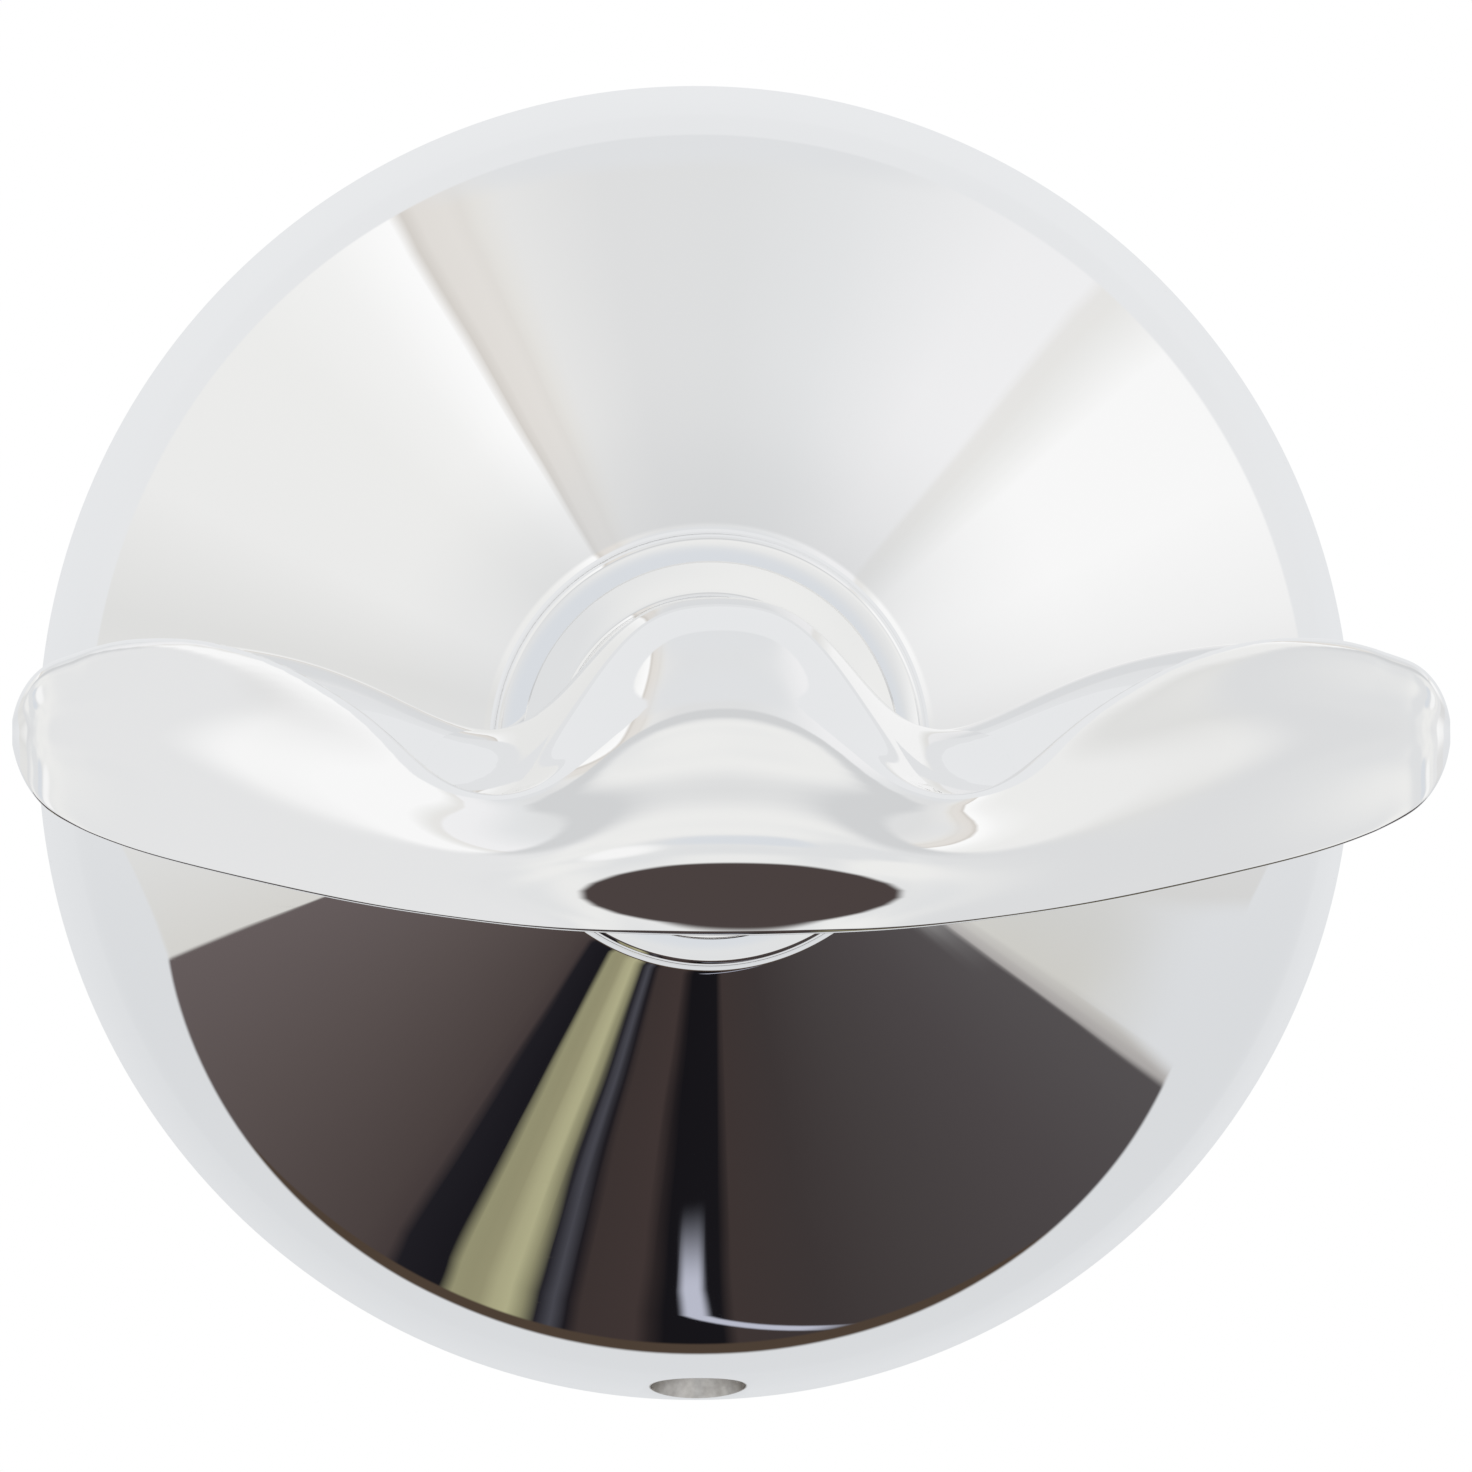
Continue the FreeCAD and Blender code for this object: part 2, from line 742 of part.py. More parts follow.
def checked(parts):
    doc.recompute()
    for thing in doc.Objects:
        if "Invalid" in thing.State or "Error" in thing.State:
            raise RuntimeError(f"{thing.Name} is {thing.State}")
    for part in parts:
        shape = part.Shape
        if shape.isNull() or not shape.isValid() or not shape.Solids:
            raise RuntimeError(f"{part.Label} has no valid solid")
        print(f"{part.Label}: {len(shape.Solids)} solid, {shape.Volume:.1f} mm3")
    return parts


doc = FreeCAD.newDocument("double_robe_hook")
sizes = sheet_of_sizes(doc)
os.makedirs("parts", exist_ok=True)
for part in checked(assembly()):
    part.Shape.exportStep(f"parts/{part.Label}.step")
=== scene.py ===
import math

import bmesh
import bpy
import numpy as np
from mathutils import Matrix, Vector


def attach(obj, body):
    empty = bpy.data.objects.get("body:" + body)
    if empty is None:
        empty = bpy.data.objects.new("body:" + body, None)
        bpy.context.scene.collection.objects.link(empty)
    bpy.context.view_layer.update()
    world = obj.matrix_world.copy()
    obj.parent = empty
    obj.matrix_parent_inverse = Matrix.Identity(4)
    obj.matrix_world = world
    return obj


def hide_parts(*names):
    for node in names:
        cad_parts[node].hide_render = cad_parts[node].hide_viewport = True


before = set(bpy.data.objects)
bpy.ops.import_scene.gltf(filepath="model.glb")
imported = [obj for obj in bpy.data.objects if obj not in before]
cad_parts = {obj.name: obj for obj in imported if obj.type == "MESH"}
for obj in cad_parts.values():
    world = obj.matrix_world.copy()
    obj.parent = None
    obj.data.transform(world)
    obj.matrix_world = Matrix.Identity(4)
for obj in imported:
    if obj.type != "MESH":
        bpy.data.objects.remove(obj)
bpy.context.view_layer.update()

# Everything here is in metres, in the CAD frame: the wall is y = 0, +Y goes into it, +Z is up.
# "Depth" is the distance in front of the wall, so depth = -y.
MM = 0.001


# ---- mesh helpers ---------------------------------------------------------------------------


def piece_from(name, vertices, faces):
    """A mesh object from vertices in mm."""
    mesh = bpy.data.meshes.new(name)
    mesh.from_pydata([tuple(v) for v in np.asarray(vertices) * MM], [], faces)
    mesh.update()
    piece = bpy.data.objects.new(name, mesh)
    bpy.context.scene.collection.objects.link(piece)
    return piece


def with_outward_normals(piece):
    """Merges vertices that lie on each other and turns every face outwards."""
    shape = bmesh.new()
    shape.from_mesh(piece.data)
    bmesh.ops.remove_doubles(shape, verts=shape.verts, dist=1e-8)
    bmesh.ops.recalc_face_normals(shape, faces=shape.faces)
    shape.to_mesh(piece.data)
    shape.free()
    return piece


def smooth_but_sharp_over(piece, degrees):
    piece.data.shade_smooth()
    piece.data.set_sharp_from_angle(angle=math.radians(degrees))
    return piece


def applied(piece, modifier):
    bpy.context.view_layer.objects.active = piece
    with bpy.context.temp_override(object=piece, active_object=piece, selected_objects=[piece]):
        bpy.ops.object.modifier_apply(modifier=modifier.name)
    return piece


def combine(piece, other, operation):
    """Joins other to the piece, or cuts it out of the piece, and removes other."""
    modifier = piece.modifiers.new("combine", "BOOLEAN")
    modifier.operation = operation
    modifier.solver = "EXACT"
    modifier.object = other
    applied(piece, modifier)
    bpy.data.objects.remove(other)
    return piece


def arc_points(start, end, radius, turn, steps):
    """Points on the short arc from start to end, without the end. turn is +1 for a left bend."""
    start, end = np.array(start, float), np.array(end, float)
    chord = end - start
    length = np.linalg.norm(chord)
    normal = np.array([-chord[1], chord[0]]) / length
    centre = (start + end) / 2 + normal * turn * math.sqrt(radius**2 - length**2 / 4)
    first = math.atan2(*(start - centre)[::-1])
    sweep = turn * 2 * math.asin(length / 2 / radius)
    angles = first + sweep * np.arange(steps) / steps
    return [(centre[0] + radius * math.cos(a), centre[1] + radius * math.sin(a)) for a in angles]


def turned(name, outline, segments=256, closed=True):
    """Turns an outline of (radius, depth) about the hook's axis, which runs along -Y."""
    count = len(outline)
    angles = 2 * math.pi * np.arange(segments) / segments
    vertices = [(r * math.cos(a), -d, r * math.sin(a)) for a in angles for r, d in outline]
    faces = []
    for ring in range(segments):
        following = (ring + 1) % segments
        for step in range(count if closed else count - 1):
            after = (step + 1) % count
            here, there = ring * count, following * count
            faces.append((here + step, here + after, there + after, there + step))
    return with_outward_normals(piece_from(name, vertices, faces))


def cylinder(name, radius, start, end, segments=96):
    """A closed cylinder between two points in mm."""
    start, end = Vector(start), Vector(end)
    length = (end - start).length
    shape = bmesh.new()
    bmesh.ops.create_cone(
        shape, segments=segments, radius1=radius, radius2=radius, depth=length, cap_ends=True
    )
    turn = (end - start).to_track_quat("Z", "Y").to_matrix().to_4x4()
    bmesh.ops.transform(shape, matrix=turn, verts=shape.verts)
    bmesh.ops.translate(shape, vec=(start + end) / 2, verts=shape.verts)
    bmesh.ops.scale(shape, vec=(MM, MM, MM), verts=shape.verts)
    mesh = bpy.data.meshes.new(name)
    shape.to_mesh(mesh)
    shape.free()
    piece = bpy.data.objects.new(name, mesh)
    bpy.context.scene.collection.objects.link(piece)
    return piece


def block(name, low, high):
    """A box between two opposite corners in mm."""
    x0, y0, z0 = low
    x1, y1, z1 = high
    vertices = [(x, y, z) for x in (x0, x1) for y in (y0, y1) for z in (z0, z1)]
    faces = [(0, 1, 3, 2), (4, 6, 7, 5), (0, 4, 5, 1), (2, 3, 7, 6), (0, 2, 6, 4), (1, 5, 7, 3)]
    return with_outward_normals(piece_from(name, vertices, faces))


# ---- set screw ------------------------------------------------------------------------------

# The set screw stands upright in the rim, below the hook's axis. All sizes are in mm.
SET_SCREW_DEPTH = 3.0
SET_SCREW_R = 1.95
SET_SCREW_ENDS = (-25.7, -20.7)
THREAD_PITCH = 0.7
THREAD_DEPTH = 0.36
SCREW_TAPER = 1.2 * THREAD_DEPTH
SOCKET_ACROSS = 2.0
SOCKET_DEPTH = 2.0
CUTTER_OUTSIDE = 1.0


def threaded(name, crest, groove, taper, around=48, per_pitch=10):
    """A threaded bar on the set screw's axis. Its ends narrow to taper inside the crest."""
    outer, point = SET_SCREW_ENDS
    heights = np.linspace(outer, point, int((point - outer) / THREAD_PITCH * per_pitch) + 1)
    vertices = []
    for height in heights:
        limit = crest - taper + min(height - outer, 2 * (point - height))
        for step in range(around):
            phase = (height / THREAD_PITCH - step / around) % 1.0
            radius = min(crest - groove * abs(2 * phase - 1), limit)
            angle = 2 * math.pi * step / around
            y = radius * math.sin(angle) - SET_SCREW_DEPTH
            vertices.append((radius * math.cos(angle), y, height))
    faces = []
    for ring in range(len(heights) - 1):
        for step in range(around):
            after = (step + 1) % around
            here, there = ring * around, (ring + 1) * around
            faces.append((here + step, here + after, there + after, there + step))
    faces.append(tuple(range(around)))
    faces.append(tuple(range((len(heights) - 1) * around, len(heights) * around)))
    return with_outward_normals(piece_from(name, vertices, faces))


def build_set_screw():
    """Headless screw with its thread, a cone point towards the bracket and a hexagon socket."""
    screw = threaded("threaded_set_screw", SET_SCREW_R, THREAD_DEPTH, SCREW_TAPER)
    outer = SET_SCREW_ENDS[0]
    corner = SOCKET_ACROSS / math.sqrt(3)
    mouth = (0, -SET_SCREW_DEPTH, outer - CUTTER_OUTSIDE)
    bottom = (0, -SET_SCREW_DEPTH, outer + SOCKET_DEPTH)
    combine(screw, cylinder("socket", corner, mouth, bottom, segments=6), "DIFFERENCE")
    return smooth_but_sharp_over(screw, 35)


# ---- cover ----------------------------------------------------------------------------------

# Corners of the cover's section as (radius, depth), from the wall to the collar.
RIM_SIDE = (27.5, 0.6)
SHOULDER = (26.25, 5.27)
SHOULDER_TOP = (25.4, 6.75)
CONE_FOOT = (23.55, 8.13)
CONE_TOP = (9.3, 15.83)
COLLAR_FOOT = (8.8, 16.55)
SHOULDER_BEND, ROLL_BEND, HOLLOW_BEND = 3.3, 8.0, 0.7
COLLAR_R, COLLAR_DEPTH, COLLAR_ROUNDING = 8.8, 17.6, 0.3
FOOT_R, FOOT_DEPTH = 7.7, 16.0
WEB_DEPTH, WEB_R, WEB_HOLE_R = 13.0, 10.1, 2.7
INSIDE_R, INSIDE_DEPTH, CONE_INSIDE_DEPTH = 25.4, 2.8, 5.83
BACK_EDGE = 0.2
# The two guides inside the rim that slide over the bracket.
GUIDE_HALF_WIDTH = 3.8
GUIDE_DEPTHS = (0.3, 5.2)
GUIDE_HEIGHTS = (20.7, 25.9)
SET_SCREW_HOLE_R = 2.0
SET_SCREW_HOLE_ENDS = (-29, -20)
HOLE_THREAD_DEPTH = 0.2
PIN_R = 1.0
PIN_OFFSET = 4.4
PIN_HOLE_DEPTHS = (13.4, 17)


def cover_outline():
    """Section of the cover as (radius, depth): side, rolled shoulder, cone, collar, inside."""
    shoulder = arc_points(SHOULDER, SHOULDER_TOP, SHOULDER_BEND, 1, 12)
    roll = arc_points(SHOULDER_TOP, CONE_FOOT, ROLL_BEND, 1, 14)
    hollow = arc_points(CONE_TOP, COLLAR_FOOT, HOLLOW_BEND, -1, 8)
    edge = ((COLLAR_R, COLLAR_DEPTH - COLLAR_ROUNDING), (COLLAR_R - COLLAR_ROUNDING, COLLAR_DEPTH))
    collar = arc_points(*edge, COLLAR_ROUNDING, 1, 6) + [edge[1]]
    recess = [(FOOT_R, COLLAR_DEPTH), (FOOT_R, FOOT_DEPTH)]
    web = [(WEB_HOLE_R, FOOT_DEPTH), (WEB_HOLE_R, WEB_DEPTH), (WEB_R, WEB_DEPTH)]
    bell = [(CONE_FOOT[0], CONE_INSIDE_DEPTH), (INSIDE_R, INSIDE_DEPTH), (INSIDE_R, 0.0)]
    back = [(RIM_SIDE[0] - BACK_EDGE, 0.0), (RIM_SIDE[0], BACK_EDGE)]
    outside = [RIM_SIDE] + shoulder + roll + [CONE_FOOT] + hollow + [COLLAR_FOOT] + collar
    return outside + recess + web + bell + back


def build_cover():
    """Turned cover with its guides, the tapped set-screw hole and the locating pin's hole."""
    cover = turned("robe_hook_cover", cover_outline())
    near, far = GUIDE_DEPTHS
    low, high = GUIDE_HEIGHTS
    for bottom, top in ((low, high), (-high, -low)):
        corners = ((-GUIDE_HALF_WIDTH, -far, bottom), (GUIDE_HALF_WIDTH, -near, top))
        combine(cover, block("guide", *corners), "UNION")
    ends = [(0, -SET_SCREW_DEPTH, height) for height in SET_SCREW_HOLE_ENDS]
    combine(cover, cylinder("hole", SET_SCREW_HOLE_R, *ends, segments=64), "DIFFERENCE")
    # a taper below zero leaves the cutter's ends at full width
    crest = SET_SCREW_HOLE_R + HOLE_THREAD_DEPTH
    combine(cover, threaded("tapped", crest, HOLE_THREAD_DEPTH, -5.0), "DIFFERENCE")
    ends = [(0, -depth, -PIN_OFFSET) for depth in PIN_HOLE_DEPTHS]
    combine(cover, cylinder("pin", PIN_R, *ends), "DIFFERENCE")
    return smooth_but_sharp_over(cover, 28)


# ---- hook -----------------------------------------------------------------------------------

# Cross-sections of one arm: x, then (depth, height) of lip, belly, brow, trough, ridge, heel and
# sole, in mm. They are the CAD model's up to x = 24.5. Its last two give way to one section here
# and a rounded tip.
ARM_SECTIONS = (
    (0.0, (32.4, -7.15), (33.4, -3.6), (32.3, 2.0),
     (29.9, 5.1), (25.0, 6.2), (18.0, 0.0), (26.5, -5.8)),
    (4.0, (32.7, -7.05), (33.5, -3.75), (32.5, 0.9),
     (29.8, 3.9), (24.5, 5.1), (18.3, -0.5), (26.6, -5.6)),
    (7.5, (33.9, -6.8), (34.1, -3.9), (32.8, -1.5),
     (29.2, -0.5), (22.5, 1.1), (19.3, -2.0), (26.8, -5.6)),
    (10.5, (35.2, -6.4), (35.05, -3.6), (33.5, -1.5),
     (29.0, -2.0), (22.3, 1.1), (20.3, -1.1), (28.0, -5.1)),
    (14.0, (36.65, -5.85), (36.5, -2.7), (35.1, 1.65),
     (30.0, -0.8), (24.0, 2.8), (21.9, 0.4), (29.8, -4.2)),
    (17.5, (38.2, -5.1), (38.1, -1.7), (37.2, 3.8),
     (32.2, 1.6), (26.7, 4.0), (24.6, 1.9), (32.0, -3.0)),
    (21.0, (39.7, -4.25), (39.6, -0.6), (38.9, 4.8),
     (34.9, 3.4), (30.2, 4.5), (28.3, 2.6), (34.6, -1.6)),
    (24.5, (41.0, -3.2), (40.9, 0.2), (40.3, 4.7),
     (37.4, 4.2), (34.5, 4.2), (33.0, 2.6), (37.0, -0.4)),
    (26.4, (41.6, -2.3), (41.5, 0.4), (41.0, 4.0),
     (39.2, 3.8), (37.7, 3.4), (36.8, 1.9), (38.7, -0.1)),
)
# Extra points of a section lie at these shares of the way: from the brow down both sides of the
# fold, and from the lip to the belly.
FOLD_SHARE = 0.3
CHIN_SHARE = 0.45
LIP_ROUNDING = 0.22
LIP_STEPS = 6
# Width of the bell curve that evens the sections out along the arms, in mm.
EVENING = 1.2
# The tips are drawn in by 0.1 mm when they are relaxed, which brings the span to 56.2 mm.
SPAN_BEFORE_RELAXING = 56.3
TIP_LENGTH = 1.75
TIP_BEHIND_FACE = 1.1
STEEPEST_TIP = 0.45
TIP_START, TIP_FADE = 25.2, 1.5
TIP_ROUNDS, TIP_EASE = 36, 0.5
# The hollow where the stem runs into the arms, and how far it fades out, in mm.
BLEND_DEPTHS, BLEND_DEPTH_FADE = (17.6, 31.0), 2.5
BLEND_HALF_WIDTH, BLEND_WIDTH_FADE = 13.0, 3.5
BLEND_LOWEST, BLEND_HEIGHT_FADE = -6.2, 1.5
BLEND_END = 31.5
BLEND_SUNK_BY = 0.1
VOXEL = 0.22
VOXEL_ROUNDS, VOXEL_EASE = 6, 0.5
BLEND_ROUNDS, BLEND_EASE = 120, 0.6
STEM_OUTLINE = ((0.0, 16.6), (6.2, 16.6), (6.2, 19.0), (5.95, 22.0), (4.46, 26.0), (0, 26))
# The disc at the stem's foot: a slightly coned face, then a small hollow up to the stem.
DISC_EDGE, DISC_TOP = (7.7, 17.4), (6.55, 17.6)
HOLLOW_START, HOLLOW_END, HOLLOW_R = (6.5, 17.6), (6.2, 17.9), 0.3
DISC_END = (6.05, 18.1)


def spline(knots, values, at):
    """Cubic spline through values at knots, with free ends, sampled at each number in at."""
    knots, values, at = np.asarray(knots, float), np.asarray(values, float), np.asarray(at, float)
    count = len(knots)
    step = np.diff(knots)
    system = np.eye(count)
    right = np.zeros((count,) + values.shape[1:])
    slope = np.diff(values, axis=0) / step.reshape((-1,) + (1,) * (values.ndim - 1))
    for i in range(1, count - 1):
        system[i, i - 1 : i + 2] = step[i - 1], 2 * (step[i - 1] + step[i]), step[i]
        right[i] = 6 * (slope[i] - slope[i - 1])
    if count > 3:
        system[0, :3] = step[1], -(step[0] + step[1]), step[0]
        system[-1, -3:] = step[-1], -(step[-2] + step[-1]), step[-2]
    bend = np.linalg.solve(system, right.reshape(count, -1)).reshape(right.shape)
    spans = np.clip(np.searchsorted(knots, at, side="right") - 1, 0, count - 2)
    shape = (-1,) + (1,) * (values.ndim - 1)
    h = step[spans].reshape(shape)
    b = ((at - knots[spans]).reshape(shape)) / h
    a = 1 - b
    return (
        a * values[spans]
        + b * values[spans + 1]
        + ((a**3 - a) * bend[spans] + (b**3 - b) * bend[spans + 1]) * h**2 / 6
    )


def chord_knots(points):
    """How far along the broken line through the points each of them lies."""
    return np.r_[0, np.cumsum(np.linalg.norm(np.diff(points, axis=0), axis=1))]


def section_ring(points, top_steps, under_steps):
    """Points round one section: over the top from lip to heel, then underneath back to the lip."""
    lip, belly, brow, trough, ridge, heel, sole = np.array(points, float)
    cheek = brow + (belly - brow) * FOLD_SHARE
    nape = brow + (trough - brow) * FOLD_SHARE
    chin = lip + (belly - lip) * CHIN_SHARE
    top = np.array([lip, chin, belly, cheek, brow, nape, trough, ridge, heel])
    under = np.array([heel, sole, lip])
    knots = chord_knots(top)
    over = spline(knots, top, np.linspace(LIP_ROUNDING, knots[-1], top_steps + 1))[:-1]
    knots = chord_knots(under)
    below = spline(knots, under, np.linspace(0, knots[-1] - LIP_ROUNDING, under_steps + 1))
    # the lip is a small bend from the end of the underside to the start of the front face
    share = np.linspace(0, 1, LIP_STEPS + 2)[1:-1, None]
    bend = (1 - share) ** 2 * below[-1] + 2 * share * (1 - share) * lip + share**2 * over[0]
    return np.vstack([over, below, bend])


def evened(rows, width):
    """Smooths rows of points with a bell curve of this width, without moving the end rows."""
    reach = int(3 * width)
    weights = np.exp(-0.5 * (np.arange(-reach, reach + 1) / width) ** 2)
    weights /= weights.sum()
    before = 2 * rows[0] - rows[reach:0:-1]
    after = 2 * rows[-1] - rows[-2 : -reach - 2 : -1]
    padded = np.concatenate([before, rows, after])
    count = len(rows)
    return sum(w * padded[i : i + count] for i, w in enumerate(weights))


def arms_surface(columns, top_steps, under_steps):
    """Rings of points (x, depth, height) from one arm's tip to the other's."""
    scale = (SPAN_BEFORE_RELAXING / 2 - TIP_LENGTH) / ARM_SECTIONS[-1][0]
    rings = [section_ring(points, top_steps, under_steps) for _, *points in ARM_SECTIONS]
    places = [x * scale for x, *_ in ARM_SECTIONS]
    knots = np.array([-x for x in reversed(places)] + places[1:])
    values = np.array(rings[::-1] + rings[1:])
    along = np.linspace(knots[0], knots[-1], columns)
    surface = evened(spline(knots, values, along), EVENING / (along[1] - along[0]))
    x = np.broadcast_to(along[:, None, None], surface.shape[:2] + (1,))
    return np.concatenate([x, surface], axis=2)


def tip_rings(last, before, outward, count=24):
    """Rings that close an arm with a rounded tip, which carries on the arm's own slopes."""
    middle = last.mean(axis=0)
    middle[1] = last[:, 1].max() - TIP_BEHIND_FACE
    slopes = (last - before) / abs(last[0, 0] - before[0, 0]) * [0, 1, 1]
    slopes = np.clip(slopes, -STEEPEST_TIP, STEEPEST_TIP)
    rings = []
    for turn in np.linspace(0, math.pi / 2, count + 2)[1:-1]:
        beyond = TIP_LENGTH * math.sin(turn)
        ring = middle + (last - middle) * math.cos(turn) + slopes * beyond * math.cos(turn)
        rings.append(ring + np.array([outward * beyond, 0, 0]))
    return np.array(rings)


def arms_mesh(columns=281, top_steps=80, under_steps=40):
    """Both arms as one closed surface."""
    rings = arms_surface(columns, top_steps, under_steps)
    left = tip_rings(rings[0], rings[1], -1)
    right = tip_rings(rings[-1], rings[-2], 1)
    rings = np.concatenate([left[::-1], rings, right])
    count, around = rings.shape[:2]
    vertices = rings.reshape(-1, 3) * [1, -1, 1]
    faces = []
    for ring in range(count - 1):
        for i in range(around):
            after = (i + 1) % around
            here, there = ring * around, (ring + 1) * around
            faces.append((here + i, there + i, there + after, here + after))
    faces.append(tuple(range(around)))
    faces.append(tuple(range((count - 1) * around, count * around)))
    return with_outward_normals(piece_from("robe_hook", vertices, faces))


def joined(piece, other):
    """Adds the other piece's mesh to this one."""
    shape = bmesh.new()
    shape.from_mesh(piece.data)
    shape.from_mesh(other.data)
    shape.to_mesh(piece.data)
    shape.free()
    bpy.data.objects.remove(other)
    return piece


def remeshed(piece):
    """Rebuilds the surface from voxels, so that joined solids share one even mesh."""
    modifier = piece.modifiers.new("remesh", "REMESH")
    modifier.mode = "VOXEL"
    modifier.voxel_size = VOXEL * MM
    return applied(piece, modifier)


def relaxed(piece, rounds, share_at):
    """Evens out the surface. share_at gives each point's share of the move, from 0 to 1."""
    mesh = piece.data
    count = len(mesh.vertices)
    points = np.empty(count * 3)
    mesh.vertices.foreach_get("co", points)
    points = points.reshape(-1, 3)
    edges = np.empty(len(mesh.edges) * 2, int)
    mesh.edges.foreach_get("vertices", edges)
    first, second = edges.reshape(-1, 2).T
    neighbours = np.bincount(np.r_[first, second], minlength=count)
    share = share_at(points / MM)[:, None]
    for _ in range(rounds):
        total = np.zeros_like(points)
        for axis in range(3):
            total[:, axis] = np.bincount(first, points[second, axis], count)
            total[:, axis] += np.bincount(second, points[first, axis], count)
        points += (total / neighbours[:, None] - points) * share
    mesh.vertices.foreach_set("co", points.ravel())
    mesh.update()
    return piece


def near_stem(points):
    """1 where the stem runs into the arms, fading to 0 over the next few millimetres."""
    depth = -points[:, 1]
    near, far = BLEND_DEPTHS
    along = np.clip(np.minimum(depth - near, far - depth) / BLEND_DEPTH_FADE, 0, 1)
    across = np.clip((BLEND_HALF_WIDTH - np.abs(points[:, 0])) / BLEND_WIDTH_FADE, 0, 1)
    above = np.clip((points[:, 2] - BLEND_LOWEST) / BLEND_HEIGHT_FADE, 0, 1)
    return along * across * above


def shrunk(piece, share_at, distance):
    """Draws the surface in by up to this distance, less where share_at is nearer to 1."""
    points = np.array([v.co for v in piece.data.vertices])
    normals = np.array([v.normal for v in piece.data.vertices])
    moved = points - normals * ((1 - share_at(points / MM)) * distance * MM)[:, None]
    piece.data.vertices.foreach_set("co", moved.ravel())
    piece.data.update()
    return piece


def stem_blend():
    """The stem and the smooth hollow where it runs into the arms, sunk into the arms beyond."""
    blend = arms_mesh(columns=161, top_steps=50, under_steps=26)
    combine(blend, turned("stem", STEM_OUTLINE, closed=False), "UNION")
    beyond = block("beyond", (-40, -60, -20), (40, -BLEND_END, 20))
    combine(blend, beyond, "DIFFERENCE")
    remeshed(blend)
    relaxed(blend, VOXEL_ROUNDS, lambda points: np.full(len(points), VOXEL_EASE))
    relaxed(blend, BLEND_ROUNDS, lambda points: near_stem(points) * BLEND_EASE)
    return shrunk(blend, near_stem, BLEND_SUNK_BY)


def stem_foot():
    """Round disc in the cover's collar, with a small hollow where the stem starts."""
    outline = [(0.0, FOOT_DEPTH), (FOOT_R, FOOT_DEPTH), DISC_EDGE, DISC_TOP]
    outline += arc_points(HOLLOW_START, HOLLOW_END, HOLLOW_R, -1, 6)
    outline += [HOLLOW_END, DISC_END, (0.0, DISC_END[1])]
    return turned("foot", outline, closed=False)


def near_tips(points):
    """1 on the rounded tips, fading to 0 along the arms."""
    return np.clip((np.abs(points[:, 0]) - TIP_START) / TIP_FADE, 0, 1)


def build_hook():
    """Arms, stem and foot. The stem's piece lies inside the arms beyond the hollow."""
    hook = relaxed(arms_mesh(), TIP_ROUNDS, lambda points: near_tips(points) * TIP_EASE)
    joined(hook, stem_blend())
    joined(hook, stem_foot())
    return smooth_but_sharp_over(hook, 50)


# ---- materials ------------------------------------------------------------------------------

# How much of the light the chrome gives back.
CHROME_SHADE = 0.93
# Noise scales are per metre; a triple stretches the noise along X, Y and Z. Reliefs are in mm.
HAZE_SCALE, WAVE_SCALE, WAVE_RELIEF = 90, 130, 0.02
HAIRLINES, CROSSING_HAIRLINES = (250, 250, 5200), (4300, 300, 260)
RAW_METAL_SCALE, TOOL_MARKS, TOOL_MARK_RELIEF = 2500, (800, 9000, 9000), 0.006
# Roughness of clean chrome, and what haze, hairlines and unplated metal add to it.
CLEAN, HAZE_ADDS, HAIRLINE_ADDS, UNPLATED_ADDS = 0.014, 0.012, 0.03, 0.3
RAW_DARK, RAW_LIGHT = (0.36, 0.34, 0.32, 1), (0.86, 0.84, 0.81, 1)
# Plating stops this far outside the tapped hole, and only below this height, in mm.
UNPLATED_MARGIN, UNPLATED_BELOW = 0.05, -15


def mirror_source(shown):
    """The light that makes the chrome show this colour on screen."""
    return [((c + 0.055) / 1.055) ** 2.4 / CHROME_SHADE for c in shown]


def solid(shown):
    return (*mirror_source(shown), 1)


def share_of_turn(degrees):
    """0 at -180 degrees and 1 at 180."""
    return (degrees + 180) / 360


